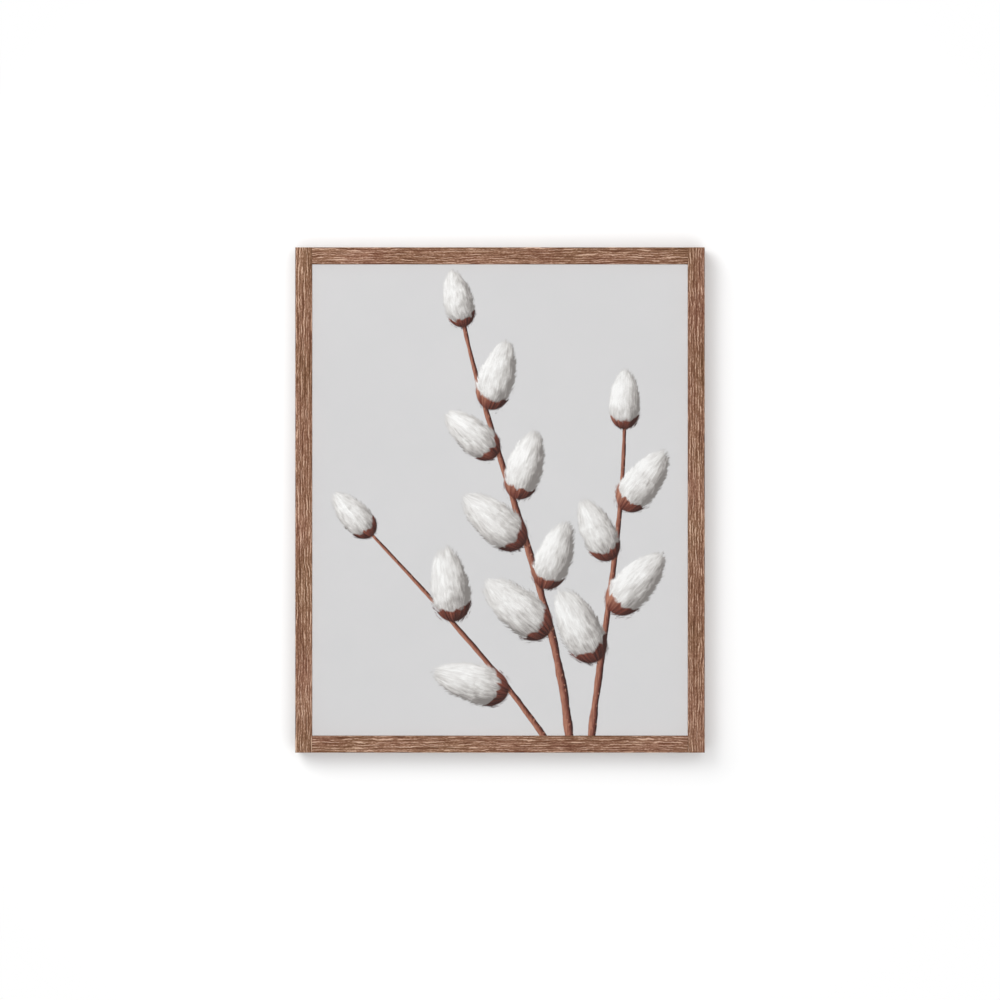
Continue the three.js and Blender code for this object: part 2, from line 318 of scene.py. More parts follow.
# how much the painted shade darkens the tone and the painted highlight lightens it
SHADE_TONE, HIGHLIGHT_TONE = -0.68, 0.9  # what the lines add to it
GROOVE_TONE = 0.2  # what the deepest groove takes from it


def walnut(name, origin, turn, offset, brushed):
    """Stained wood whose grain runs along the moulding's Z, with wavy lines of painted shade and painted
    highlight. Brushed faces are darker in their grooves.
    """
    made, recipe, shader = material(name, ior=1.45)
    point = recipe.object_point(origin, turn, MM)
    point = recipe.vectors("ADD", point, (offset, 0, 7 * offset))

    def grain(across, along, shift, **settings):
        """A noise drawn out along the grain, at so many features a millimetre."""
        moved = recipe.vectors("ADD", flow, (shift, 0, 3 * shift))
        return recipe.noise(recipe.vectors("MULTIPLY", moved, (across, across, along)), **settings)

    def strength(shift, low, high, least):
        """How strong a line is here, which varies from line to line and along each."""
        return recipe.range(grain(0.38, 0.07, shift, detail=1.0), low, high, least, 1.0)

    def line(middle, half_width):
        """1 along a line's middle, falling to 0 at its edges."""
        away = recipe.maths("ABSOLUTE", recipe.maths("SUBTRACT", across, middle))
        return recipe.range(away, 0.0, half_width, 1.0, 0.0, smooth=True)

    # the grain wanders sideways, by millimetres, and every noise after this follows its bent lines
    flow = point
    drift = recipe.around(grain(0.03, 0.016, 0, detail=1.0), 6.0)
    ripple = recipe.around(grain(0.07, 0.12, 20, detail=2.0), 2.4)
    x, y, z = recipe.parts(point)
    x = recipe.maths("ADD", recipe.maths("ADD", x, drift), ripple)
    flow = recipe.add("ShaderNodeCombineXYZ", {0: x, 1: y, 2: z})

    fibres = grain(1.7, 0.09, 0, detail=2.0, rough=0.5)
    flecks = grain(1.2, 0.42, 45, detail=1.0)
    bands = grain(0.06, 0.012, 10, detail=2.0)
    cast = grain(0.03, 0.012, 30, detail=1.0)

    # long wavy lines, each a dark line along a groove, darkened as painted shade, with a pale edge of
    # painted highlight beside it, as if the groove were lit from one side
    across = recipe.maths("MULTIPLY_ADD", y, LINE_SLANT, x)
    across = recipe.maths("MULTIPLY", across, 1 / LINE_SPACING)
    across = recipe.maths("MULTIPLY_ADD", grain(0.25, 0.022, 60, detail=1.0), 1.8, across)
    across = recipe.maths("FRACT", across)
    # painted shade along each groove line, and a painted highlight along the edge beside it
    dark = recipe.maths("MULTIPLY", line(*SHADE_LINE), strength(70, 0.35, 0.6, 0.15))
    painted_highlight = recipe.maths("MULTIPLY", line(*HIGHLIGHT_LINE), strength(90, 0.42, 0.65, 0.0))

    tone = recipe.around(fibres, FIBRE_TONE, MIDDLE_TONE)
    tone = recipe.maths("ADD", tone, recipe.around(flecks, FLECK_TONE))
    tone = recipe.maths("ADD", tone, recipe.around(bands, BAND_TONE))
    tone = recipe.maths("MULTIPLY_ADD", dark, SHADE_TONE, tone)
    tone = recipe.maths("MULTIPLY_ADD", painted_highlight, HIGHLIGHT_TONE, tone)
    if brushed:
        groove = recipe.add("ShaderNodeAttribute", output=2, attribute_name="groove")
        tone = recipe.maths("SUBTRACT", tone, recipe.maths("MULTIPLY_ADD", groove, GROOVE_TONE, -0.07))
    hue = recipe.ramp(cast, (0.35, STAIN_RED), (0.65, STAIN_OLIVE))
    colour = recipe.blend(CAST_SHARE, recipe.ramp(tone, *STAIN), hue)
    if not brushed:
        colour = recipe.blend(PLANED_SHARE, colour, PLANED_WOOD)
    height = recipe.maths("MULTIPLY_ADD", dark, -0.7, fibres)
    roughness = recipe.range(tone, 0.2, 0.8, 0.78, 0.58)
    connect(recipe, shader, base_color=colour, roughness=roughness, normal=recipe.bump(height, 0.25 * MM))
    return made


SMOOTH_BELOW = radians(35)  # edges duller than this are shaded smooth


def fit(piece, place, turn, node):
    """Smooths a modelled piece, turns it about Y into its place and puts it in for its node."""
    bpy.ops.object.select_all(action="DESELECT")
    piece.select_set(True)
    bpy.context.view_layer.objects.active = piece
    bpy.ops.object.shade_smooth_by_angle(angle=SMOOTH_BELOW)
    piece.location = place
    piece.rotation_euler = (0, turn, 0)
    bpy.ops.object.transform_apply(location=True, rotation=True, scale=True)
    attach(piece, "root")
    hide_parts(node)


GROOVES_APART = 1.7  # m between one moulding's grooves and the next's, in the noise that shapes them
GRAIN_APART = 31.0  # mm, for the grain

frame_middle = (stile_low.z + stile_high.z) / 2
outer_edges = {  # the middle of each moulding's outer front edge, and its turn about Y from the left stile
    "stile_left": ((stile_low.x, stile_low.y, frame_middle), 0),
    "rail_top": ((0, stile_low.y, rail_high.z), 90),
    "stile_right": ((-stile_low.x, stile_low.y, frame_middle), 180),
    "rail_bottom": ((0, stile_low.y, stile_low.z), 270),
}
for number, (node, (origin, degrees)) in enumerate(outer_edges.items(), start=1):
    is_rail = node.startswith("rail")
    length = -2 * stile_high.x if is_rail else stile_high.z - stile_low.z
    piece = moulding(f"walnut_{node}", length, REBATE if is_rail else 0)
    strip(piece, length)
    brush(piece, number * GROOVES_APART)

    turn = radians(degrees)
    piece.data.materials.append(walnut(f"brushed_{node}", origin, turn, number * GRAIN_APART, True))
    piece.data.materials.append(walnut(f"planed_{node}", origin, turn, number * GRAIN_APART, False))
    for face in piece.data.polygons:
        in_rebate = looks(face, 0) and face.center.y > LIP
        face.material_index = 1 if looks(face, 1) or in_rebate else 0
    fit(piece, origin, turn, node)

# ---------------------------------------------------------------------------------------------------------
# Dowels
# Short plain rods of beech, bare but for the glue that holds them. Two cross each butt joint, one near the
# face and one near the back, out of sight inside the wood.

BEECH_DARK, BEECH_PALE = (0.55, 0.36, 0.2), (0.74, 0.54, 0.34)
BEECH_FLECK = (0.33, 0.18, 0.09, 1)

made, recipe, shader = material("beech", ior=1.5)
point = recipe.object_point(scale=MM)
fibres = recipe.noise(recipe.vectors("MULTIPLY", point, (0.15, 2.0, 2.0)), detail=2.0)
flecks = recipe.noise(recipe.vectors("MULTIPLY", point, (0.7, 3.5, 3.5)), detail=1.0)
colour = recipe.ramp(fibres, (0.35, BEECH_DARK), (0.65, BEECH_PALE))
colour = recipe.blend(recipe.range(flecks, 0.62, 0.7, 0, 0.5), colour, BEECH_FLECK)
connect(recipe, shader, base_color=colour, roughness=recipe.range(fibres, 0.2, 0.8, 0.6, 0.75))
for name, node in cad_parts.items():
    if name.startswith("dowel"):
        node.data.materials[0] = made

# ---------------------------------------------------------------------------------------------------------
# Glazing
# A clear cast acrylic sheet, polished on both sides, held between the frame's lip and the print. Lamps shine
# through it onto the print.

ACRYLIC_IOR = 1.49
ACRYLIC_TINT, ACRYLIC_CLEAR = (0.985, 0.99, 0.99), (1.0, 1.0, 1.0)

made, recipe, shader = material("clear_acrylic", transmission_weight=1.0, roughness=0.0, ior=ACRYLIC_IOR)
point = recipe.object_point(scale=MM)
smear = recipe.noise(point, scale=0.03, detail=3.0)
connect(recipe, shader, base_color=recipe.ramp(smear, (0.3, ACRYLIC_TINT), (0.7, ACRYLIC_CLEAR)))
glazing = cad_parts["glazing"]
glazing.data.materials[0] = made
glazing.visible_shadow = False
glazing.visible_diffuse = False

# ---------------------------------------------------------------------------------------------------------
# Print
# Matt heavy paper, printed to its edges on the front: three pussy-willow twigs with soft white catkins, on a
# pale grey ground. The picture is drawn in millimetres from the middle of the sheet, X right and Y up.

print_low, print_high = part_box("print")
PICTURE_LIGHT = Vector((-0.52, 0.5, 0.69))  # where the light in the picture comes from
GROUND = (0.617, 0.613, 0.617)
GROUND_SHADE = (0.575, 0.57, 0.575)
BARK_DARK = (0.035, 0.01, 0.007)
BARK = (0.15, 0.042, 0.028)
BARK_LIT = (0.42, 0.19, 0.125)
FUR = (
    (0.0, (0.2, 0.185, 0.175)),
    (0.3, (0.42, 0.4, 0.385)),
    (0.55, (0.63, 0.615, 0.6)),
    (0.9, (0.83, 0.825, 0.815)),
)


def group(name, **sockets):
    """A new node group whose inputs have these names and kinds. Returns it with its Recipe and inputs."""
    made = bpy.data.node_groups.new(name, "ShaderNodeTree")
    for socket, kind in sockets.items():
        made.interface.new_socket(socket, in_out="INPUT", socket_type=f"NodeSocket{kind}")
    recipe = Recipe(made)
    return made, recipe, recipe.add("NodeGroupInput").node.outputs


def finish_group(recipe, **outputs):
    """Gives a group its outputs."""
    for name, output in outputs.items():
        kind = "Vector" if output.type == "VECTOR" else "Float"
        recipe.tree.interface.new_socket(name, in_out="OUTPUT", socket_type=f"NodeSocket{kind}")
    end = recipe.tree.nodes.new("NodeGroupOutput")
    for name, output in outputs.items():
        recipe.tree.links.new(output, end.inputs[name])


def half_round(recipe, square):
    """How far a round thing's surface faces the viewer, from the square of the distance off its middle."""
    rest = recipe.maths("SUBTRACT", 1.0, square)
    return recipe.maths("SQRT", recipe.maths("MAXIMUM", rest, 0.0))


# A twig: a tapered round stem whose middle line is a cubic curve, laid over the twigs before it.
TWIG_TIP = 40.0  # how sharply a twig ends, per share of its height

twig_group, recipe, given = group(
    "twig", point="Vector", root="Vector", bend="Vector", height="Float", radii="Vector",
    inside="Float", shade="Float",
)
across, up, _ = recipe.parts(recipe.vectors("SUBTRACT", given["point"], given["root"]))
climb = recipe.maths("DIVIDE", up, given["height"])
lean, curve, sway = recipe.parts(given["bend"])
middle = recipe.maths("MULTIPLY_ADD", climb, sway, curve)
middle = recipe.maths("MULTIPLY_ADD", climb, middle, lean)
middle = recipe.maths("MULTIPLY", climb, middle)
slope = recipe.maths("MULTIPLY", curve, 2.0)
slope = recipe.maths("MULTIPLY_ADD", recipe.maths("MULTIPLY", climb, 3.0), sway, slope)
slope = recipe.maths("DIVIDE", recipe.maths("MULTIPLY_ADD", climb, slope, lean), given["height"])
steep = recipe.maths("SQRT", recipe.maths("MULTIPLY_ADD", slope, slope, 1.0))
thick, thin, _ = recipe.parts(given["radii"])
radius = recipe.range(climb, 0.0, 1.0, thick, thin)
knobs = recipe.noise(recipe.vectors("MULTIPLY", given["point"], (0.045, 0.045, 0)), detail=2.0)
radius = recipe.maths("MULTIPLY", radius, recipe.range(knobs, 0.3, 0.7, 0.85, 1.2))
side = recipe.maths("SUBTRACT", across, middle)
side = recipe.maths("DIVIDE", side, recipe.maths("MULTIPLY", steep, radius))
depth = recipe.maths("SUBTRACT", 1.0, recipe.maths("ABSOLUTE", side))
to_tip = recipe.maths("SUBTRACT", 1.0, climb)
depth = recipe.maths("MINIMUM", depth, recipe.maths("MULTIPLY", to_tip, TWIG_TIP))
facing = half_round(recipe, recipe.maths("MULTIPLY", side, side))
lit = recipe.maths("MULTIPLY_ADD", side, -0.6, recipe.maths("MULTIPLY", facing, 0.75))
nearer = recipe.maths("GREATER_THAN", depth, given["inside"])
finish_group(
    recipe,
    inside=recipe.maths("MAXIMUM", depth, given["inside"]),
    shade=recipe.range(nearer, 0.0, 1.0, given["shade"], lit),
)

# A catkin: an egg of soft hair that points from its bud, laid over the catkins before it. Its pattern vector
# holds the place along it (-1 at the bud, 1 at the tip), the place across it, and a number of its own.
CATKIN_TAPER = 0.22

catkin_group, recipe, given = group(
    "catkin", point="Vector", bud="Vector", angle="Float", length="Float", width="Float", number="Float",
    inside="Float", shade="Float", pattern="Vector",
)
flat = recipe.vectors("SUBTRACT", given["point"], given["bud"])
back = recipe.maths("MULTIPLY", given["angle"], -1.0)


def untilt(vector):
    """A vector in the catkin's own frame, whose X runs from the bud to the tip."""
    return recipe.add("ShaderNodeVectorRotate", {"Vector": vector, "Angle": back}, rotation_type="Z_AXIS")


x, y, _ = recipe.parts(untilt(flat))
place = recipe.maths("MULTIPLY_ADD", recipe.maths("DIVIDE", x, given["length"]), 2.0, -1.0)
taper = recipe.maths("MULTIPLY_ADD", place, CATKIN_TAPER, 1.0)
across = recipe.maths("DIVIDE", recipe.maths("MULTIPLY", y, 2.0), given["width"])
across = recipe.maths("MULTIPLY", across, taper)
square = recipe.maths("MULTIPLY_ADD", place, place, recipe.maths("MULTIPLY", across, across))
depth = recipe.maths("SUBTRACT", 1.0, recipe.maths("SQRT", square))
facing = half_round(recipe, square)
surface = recipe.add("ShaderNodeCombineXYZ", {0: recipe.maths("MULTIPLY", place, 0.6), 1: across, 2: facing})
lit = {0: surface, 1: untilt(PICTURE_LIGHT)}
lit = recipe.add("ShaderNodeVectorMath", lit, 1, operation="DOT_PRODUCT")
nearer = recipe.maths("GREATER_THAN", depth, given["inside"])
here = recipe.add("ShaderNodeCombineXYZ", {0: place, 1: across, 2: given["number"]})
pattern = recipe.add("ShaderNodeMix", {0: nearer, 4: given["pattern"], 5: here}, 1, data_type="VECTOR")
finish_group(
    recipe,
    inside=recipe.maths("MAXIMUM", depth, given["inside"]),
    shade=recipe.range(nearer, 0.0, 1.0, given["shade"], lit),
    pattern=pattern,
)

TWIGS = (  # root, then lean, curve and sway of the middle line, height, end radii, catkins on it
    ((74, -262), (-34, -170, 92), 446, (5.0, 2.2), 7),
    ((94, -262), (34, 36, -34), 338, (4.2, 1.9), 5),
    ((56, -262), (-148, -62, 20), 226, (3.6, 1.8), 3),
)
FIRST_CATKIN, LAST_CATKIN, TOP_CATKIN = 0.27, 0.9, 0.99  # places along a twig: two side ones and the tip's
CATKIN_LENGTH, CATKIN_WIDTH = 86, 44
CATKIN_LEAN, LEAN_LESS = 38, 8  # degrees off the twig, and how much less at its top
SIZE_FOOT, SIZE_LESS = 1.08, 0.3  # share of those lengths at the twig's foot, and how much less at its top
SIZE_VARIES = 0.07  # how much larger or smaller, from one catkin to the next
BUD_OUT = 0.6  # share of the twig's radius
PATTERN_APART = 3.7  # between one catkin's own number and the next's
OUTSIDE = -9.0  # how deep a point lies before anything is drawn there


def middle_line(root, bend, height, climb):
    """The point of a twig's middle line at a share of its height, and the way the twig heads there."""
    x = root[0] + climb * (bend[0] + climb * (bend[1] + climb * bend[2]))
    slope = bend[0] + climb * (2 * bend[1] + climb * 3 * bend[2])
    return Vector((x, root[1] + climb * height, 0)), atan2(height, slope)


made, recipe, shader = material("printed_paper", ior=1.45, specular_ior_level=0.25)
sheet_middle = ((print_low.x + print_high.x) / 2, 0, (print_low.z + print_high.z) / 2)
x, _, z = recipe.parts(recipe.object_point(sheet_middle, scale=MM))
point = recipe.add("ShaderNodeCombineXYZ", {0: x, 1: z, 2: 0.0})

twigs = {"inside": OUTSIDE, "shade": 0.0}
catkins = {"inside": OUTSIDE, "shade": 0.0, "pattern": (0, 0, 0)}
number = 0
for root, bend, height, radii, count in TWIGS:
    values = {"point": point, "root": (*root, 0), "bend": bend, "height": height, **twigs}
    values["radii"] = (*radii, 0)
    made_twig = recipe.add("ShaderNodeGroup", values, node_tree=twig_group).node
    twigs = {key: made_twig.outputs[key] for key in twigs}
    for step in range(count):
        number += 1
        last = step == count - 1
        climb = TOP_CATKIN if last else FIRST_CATKIN + (LAST_CATKIN - FIRST_CATKIN) * step / (count - 1)
        spot, heading = middle_line(root, bend, height, climb)
        side = 1 if (step + count) % 2 else -1
        angle = heading + (0 if last else side * radians(CATKIN_LEAN - LEAN_LESS * climb))
        size = (SIZE_FOOT - SIZE_LESS * climb) * (1 + SIZE_VARIES * sin(2.4 * number))
        radius = radii[0] + (radii[1] - radii[0]) * climb
        outwards = Vector((cos(heading + side * pi / 2), sin(heading + side * pi / 2), 0))
        bud = spot if last else spot + outwards * radius * BUD_OUT
        values = {"point": point, "bud": bud, "angle": angle, "number": PATTERN_APART * number, **catkins}
        values.update(length=CATKIN_LENGTH * size, width=CATKIN_WIDTH * size)
        made_catkin = recipe.add("ShaderNodeGroup", values, node_tree=catkin_group).node
        catkins = {key: made_catkin.outputs[key] for key in catkins}

# the ground
clouds = recipe.noise(point, scale=0.006, detail=1.0)
fall = recipe.maths("MULTIPLY_ADD", x, -0.0008, recipe.maths("MULTIPLY_ADD", z, 0.0004, 0.45))
fall = recipe.maths("MULTIPLY_ADD", clouds, 0.4, fall)
colour = recipe.ramp(fall, (0.2, GROUND), (0.9, GROUND_SHADE))

# the bark: reddish brown, streaked lengthways, with a few pale corky dots
bark = recipe.noise(recipe.vectors("MULTIPLY", point, (0.7, 0.1, 0)), detail=3.0)
corks = recipe.noise(recipe.vectors("MULTIPLY", point, (0.3, 0.22, 0)), detail=0.0)
bark_tone = recipe.maths("MULTIPLY_ADD", bark, 0.8, recipe.maths("MULTIPLY_ADD", twigs["shade"], 1.0, -0.5))
bark_colour = recipe.ramp(bark_tone, (0.1, BARK_DARK), (0.5, BARK), (1.0, BARK_LIT))
bark_colour = recipe.blend(recipe.range(corks, 0.68, 0.74, 0.0, 0.5), bark_colour, (*BARK_LIT, 1))
colour = recipe.blend(recipe.range(twigs["inside"], 0.0, 0.12), colour, bark_colour)

# the catkins: silky hair that runs from bud to tip, gathered in tufts, with loose ends along the outline
place, across, own = recipe.parts(catkins["pattern"])
round_off = recipe.maths("SUBTRACT", 1.02, recipe.maths("MULTIPLY", place, place))
round_off = recipe.maths("SQRT", recipe.maths("MAXIMUM", round_off, 0.12))
girth = recipe.maths("DIVIDE", across, round_off)


def fur_noise(along, around, more_along, more_around, **settings):
    """A noise in a catkin's own frame, drawn out by different amounts each way."""
    along = recipe.maths("MULTIPLY", along, more_along)
    around = recipe.maths("MULTIPLY", around, more_around)
    return recipe.noise(recipe.add("ShaderNodeCombineXYZ", {0: along, 1: around, 2: own}), **settings)


HAIR_CONTRAST, TUFT_CONTRAST = 0.75, 0.7

hair = fur_noise(place, girth, 3.4, 9.0, detail=3.0, rough=0.65, warp=0.5)
tufts = fur_noise(place, girth, 3.0, 2.6, detail=2.0, warp=0.6)
outwards = recipe.maths("MULTIPLY_ADD", recipe.maths("ABSOLUTE", across), -0.7, place)
loose = fur_noise(outwards, across, 18.0, 5.0, detail=3.0, rough=0.7)
loose = recipe.maths("MULTIPLY_ADD", loose, 0.42, recipe.maths("MULTIPLY_ADD", tufts, 0.22, -0.32))
cover = recipe.range(recipe.maths("ADD", catkins["inside"], loose), 0.0, 0.1)
glow = recipe.maths("MULTIPLY_ADD", catkins["shade"], 0.95, -0.03)
glow = recipe.maths("ADD", glow, recipe.around(hair, HAIR_CONTRAST))
glow = recipe.maths("ADD", glow, recipe.around(tufts, TUFT_CONTRAST))
fur = recipe.ramp(glow, *FUR)

# the bud scale each catkin breaks from, a brown cup with a ragged edge
brim = recipe.maths("MULTIPLY_ADD", recipe.maths("MULTIPLY", across, across), 0.3, -0.86)
brim = recipe.maths("MULTIPLY_ADD", tufts, 0.34, brim)
cup = recipe.range(recipe.maths("SUBTRACT", place, brim), -0.03, 0.03, 1.0, 0.0)
ribs = fur_noise(place, girth, 1.2, 7.0, detail=2.0)
cup_tone = recipe.maths("MULTIPLY_ADD", catkins["shade"], 1.1, -0.55)
cup_tone = recipe.maths("MULTIPLY_ADD", ribs, 1.3, cup_tone)
fur = recipe.blend(cup, fur, recipe.ramp(cup_tone, (0.0, BARK_DARK), (0.45, BARK), (0.95, BARK_LIT)))
cup = recipe.maths("MULTIPLY", cup, recipe.range(catkins["inside"], 0.02, 0.06))
cover = recipe.maths("MAXIMUM", cover, cup)
cover = recipe.maths("MULTIPLY", cover, recipe.range(catkins["inside"], -0.3, -0.2))
colour = recipe.blend(cover, colour, fur)

# the sheet's other faces are bare paper
PAPER_DARK, PAPER_PALE = (0.74, 0.74, 0.73), (0.8, 0.8, 0.79)

_, facing, _ = recipe.parts(recipe.add("ShaderNodeNewGeometry", output=1))
paper = recipe.noise(point, scale=0.6, detail=3.0)
bare = recipe.ramp(paper, (0.3, PAPER_DARK), (0.7, PAPER_PALE))
colour = recipe.blend(recipe.maths("LESS_THAN", facing, -0.5), bare, colour)
connect(recipe, shader, base_color=colour, roughness=recipe.range(paper, 0.3, 0.7, 0.6, 0.72))
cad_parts["print"].data.materials[0] = made

# ---------------------------------------------------------------------------------------------------------
# Backing board
# Thin brown fibreboard, pressed smooth on both faces and flecked with darker and paler fibres. It lies
# behind the print, and the points hold it in.

BOARD = ((0.3, (0.2, 0.12, 0.07)), (0.5, (0.31, 0.2, 0.12)), (0.75, (0.42, 0.29, 0.185)))
BOARD_FIBRE = (0.13, 0.07, 0.04, 1)
BOARD_CLOUD = (0.24, 0.15, 0.09, 1)

made, recipe, shader = material("fibreboard", ior=1.45)
point = recipe.object_point(scale=MM)
cloud = recipe.noise(point, scale=0.02, detail=3.0)
fleck = recipe.noise(recipe.vectors("MULTIPLY", point, (1.6, 1.6, 0.7)), detail=3.0, rough=0.7)
dark = recipe.noise(recipe.vectors("MULTIPLY", point, (0.9, 0.9, 2.2)), detail=2.0)
colour = recipe.ramp(fleck, *BOARD)
colour = recipe.blend(recipe.range(dark, 0.64, 0.7, 0, 0.5), colour, BOARD_FIBRE)
colour = recipe.blend(recipe.range(cloud, 0.35, 0.7, 0, 0.3), colour, BOARD_CLOUD)
connect(
    recipe,
    shader,
    base_color=colour,
    roughness=recipe.range(fleck, 0.2, 0.8, 0.55, 0.75),
    normal=recipe.bump(fleck, 0.05 * MM),
)
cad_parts["backing_board"].data.materials[0] = made

# ---------------------------------------------------------------------------------------------------------
# Points
# Ten flat tongues of zinc-plated spring steel that hold the backing board in. Each is punched from strip,
# with a round free end, and its square end is shot into the wall of the rebate.

point_low, point_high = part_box("point_left_1")
POINT_LENGTH, POINT_STEEL, POINT_WIDTH = point_high - point_low
POINT_ROUND = 0.98 * POINT_WIDTH / 2  # rounding of the free end, a little short of the half width
PUNCHED_EDGE = 0.12 * MM  # rounding left by the punch
SHARP_ABOVE = radians(50)  # the angle from which an edge counts as square


def soften(piece, width):
    """In edit mode, rounds every square edge."""
    pick(piece, "edges", lambda edge: edge.calc_face_angle() > SHARP_ABOVE)
    bpy.ops.mesh.bevel(offset=width, segments=2, affect="EDGES")


def plated(name, dull, bright, drawn):
    """Plated steel: cloudy, with fine lines drawn out along one way."""
    made, recipe, shader = material(name, metallic=1.0)
    point = recipe.object_point(scale=MM)
    clouds = recipe.noise(point, scale=0.4, detail=3.0)
    lines = recipe.noise(recipe.vectors("MULTIPLY", point, drawn), detail=2.0, rough=0.6)
    tone = recipe.maths("MULTIPLY_ADD", lines, 0.5, recipe.maths("MULTIPLY", clouds, 0.5))
    connect(
        recipe,
        shader,
        base_color=recipe.ramp(tone, (0.38, dull), (0.6, bright)),
        roughness=recipe.range(tone, 0.35, 0.65, 0.5, 0.3),
        normal=recipe.bump(lines, 0.012 * MM),
    )
    return made


ZINC_DULL, ZINC_BRIGHT = (0.5, 0.52, 0.54), (0.78, 0.8, 0.82)
POINT_TURNS = {"left": 0, "top": 90, "right": 180, "bottom": 270}  # degrees about Y, from the left stile

zinc = plated("zinc_steel", ZINC_DULL, ZINC_BRIGHT, (1.5, 1.5, 1.5))
bpy.ops.mesh.primitive_cube_add(size=1)
tongue = bpy.context.object
tongue.name = tongue.data.name = "tongue"
tongue.scale = (POINT_LENGTH, POINT_STEEL, POINT_WIDTH)
bpy.ops.object.transform_apply(location=True, rotation=True, scale=True)
bpy.ops.object.mode_set(mode="EDIT")
pick(tongue, "edges", lambda edge: run(edge)[1] > POINT_STEEL / 2 and edge.verts[0].co.x > 0)
bpy.ops.mesh.bevel(offset=POINT_ROUND, segments=10, affect="EDGES")
soften(tongue, PUNCHED_EDGE)
bpy.ops.object.mode_set(mode="OBJECT")
tongue.data.materials.append(zinc)
for node in sorted(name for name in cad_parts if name.startswith("point")):
    copy = tongue.copy()
    copy.data = tongue.data.copy()
    copy.name = copy.data.name = f"steel_{node}"
    bpy.context.collection.objects.link(copy)
    low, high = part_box(node)
    side = node.split("_")[1]
    fit(copy, (low + high) / 2, radians(POINT_TURNS[side]), node)
bpy.data.objects.remove(tongue)

# ---------------------------------------------------------------------------------------------------------
# Hanger and its screws
# A strip of brass-plated steel, pressed into two flat feet and a raised middle, with nine notches punched
# along its lower edge. Two small pan-head screws, zinc plated, hold it to the top rail.

hanger_low, hanger_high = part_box("sawtooth_hanger")
HANGER_STEEL = 0.8 * MM
FOOT_END, RAMP_END = 17 * MM, 14 * MM  # where the bends are, from the middle
BEND = 0.4 * MM
TOOTH_COUNT = 9
TOOTH_PITCH = 3 * MM
TOOTH_DEPTH = 1.5 * MM
SHEARED_EDGE = 0.12 * MM
BRASS_DULL, BRASS_BRIGHT = (0.5, 0.34, 0.13), (0.8, 0.62, 0.3)

hanger_size = hanger_high - hanger_low
bpy.ops.object.select_all(action="DESELECT")
bpy.ops.mesh.primitive_cube_add(size=1, location=(0, HANGER_STEEL / 2, hanger_size.z / 2))
hanger = bpy.context.object
hanger.name = hanger.data.name = "brassed_hanger"
hanger.scale = (hanger_size.x, HANGER_STEEL, hanger_size.z)
bpy.ops.object.transform_apply(location=True, rotation=True, scale=True)
bpy.ops.object.mode_set(mode="EDIT")


def cut_across(piece, x):
    """Cuts a piece's faces along a plane across X."""
    pick(piece, "faces", lambda face: True)
    bpy.ops.mesh.bisect(plane_co=(x, 0, 0), plane_no=(1, 0, 0))


def shift(piece, move, test):
    """Moves the vertices that pass a test."""
    shell = bmesh.from_edit_mesh(piece.data)
    for vertex in shell.verts:
        vertex.select_set(test(vertex.co))
    shell.select_flush_mode()
    bmesh.update_edit_mesh(piece.data)
    bpy.ops.transform.translate(value=move)


def bent(edge):
    """Whether an edge is one of the bends between the feet, the ramps and the middle."""
    return run(edge)[2] > TOOTH_DEPTH and 0.1 < edge.calc_face_angle() < 1


for x in (-FOOT_END, -RAMP_END, RAMP_END, FOOT_END):
    cut_across(hanger, x)
bpy.ops.mesh.select_mode(type="VERT")
shift(hanger, (0, hanger_size.y - HANGER_STEEL, 0), lambda spot: abs(spot.x) < RAMP_END + SHEARED_EDGE)
pick(hanger, "edges", bent)
bpy.ops.mesh.bevel(offset=BEND, segments=3, affect="EDGES")
for step in range(2 * TOOTH_COUNT + 1):
    cut_across(hanger, (step - TOOTH_COUNT) * TOOTH_PITCH / 2)
bpy.ops.mesh.select_mode(type="VERT")
notches = [(step - (TOOTH_COUNT - 1) / 2) * TOOTH_PITCH for step in range(TOOTH_COUNT)]
shift(
    hanger,
    (0, 0, TOOTH_DEPTH),
    lambda spot: spot.z < TOOTH_DEPTH / 2 and min(abs(spot.x - x) for x in notches) < SHEARED_EDGE,
)
soften(hanger, SHEARED_EDGE)
bpy.ops.object.mode_set(mode="OBJECT")
hanger.data.materials.append(plated("brassed_steel", BRASS_DULL, BRASS_BRIGHT, (0.3, 5.0, 5.0)))
fit(hanger, (0, hanger_low.y, hanger_low.z), 0, "sawtooth_hanger")

for node in ("hanger_screw_left", "hanger_screw_right"):
    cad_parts[node].data.materials[0] = zinc

# ---------------------------------------------------------------------------------------------------------
# Bumpers
# Two soft buttons of dark grey rubber, moulded with a rounded crown. A thin pad, which shows as a fine step
# round the base, sticks each to a stile's back near the foot.

bumper_low, bumper_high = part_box("bumper_left")
BUMPER_RADIUS = (bumper_high.x - bumper_low.x) / 2
BUMPER_HEIGHT = bumper_high.y - bumper_low.y
BUMPER_PAD = (0.95, 0.08)  # shares of the radius and of the height, here and below
BUMPER_LINE = (
    (0.96, 0.08), (0.995, 0.12), (1.0, 0.2), (1.0, 0.4), (0.98, 0.6),
    (0.94, 0.77), (0.87, 0.91), (0.79, 0.98), (0.72, 1.0),
)
RUBBER_DARK, RUBBER_DUSTY = (0.032, 0.032, 0.035), (0.062, 0.062, 0.066)

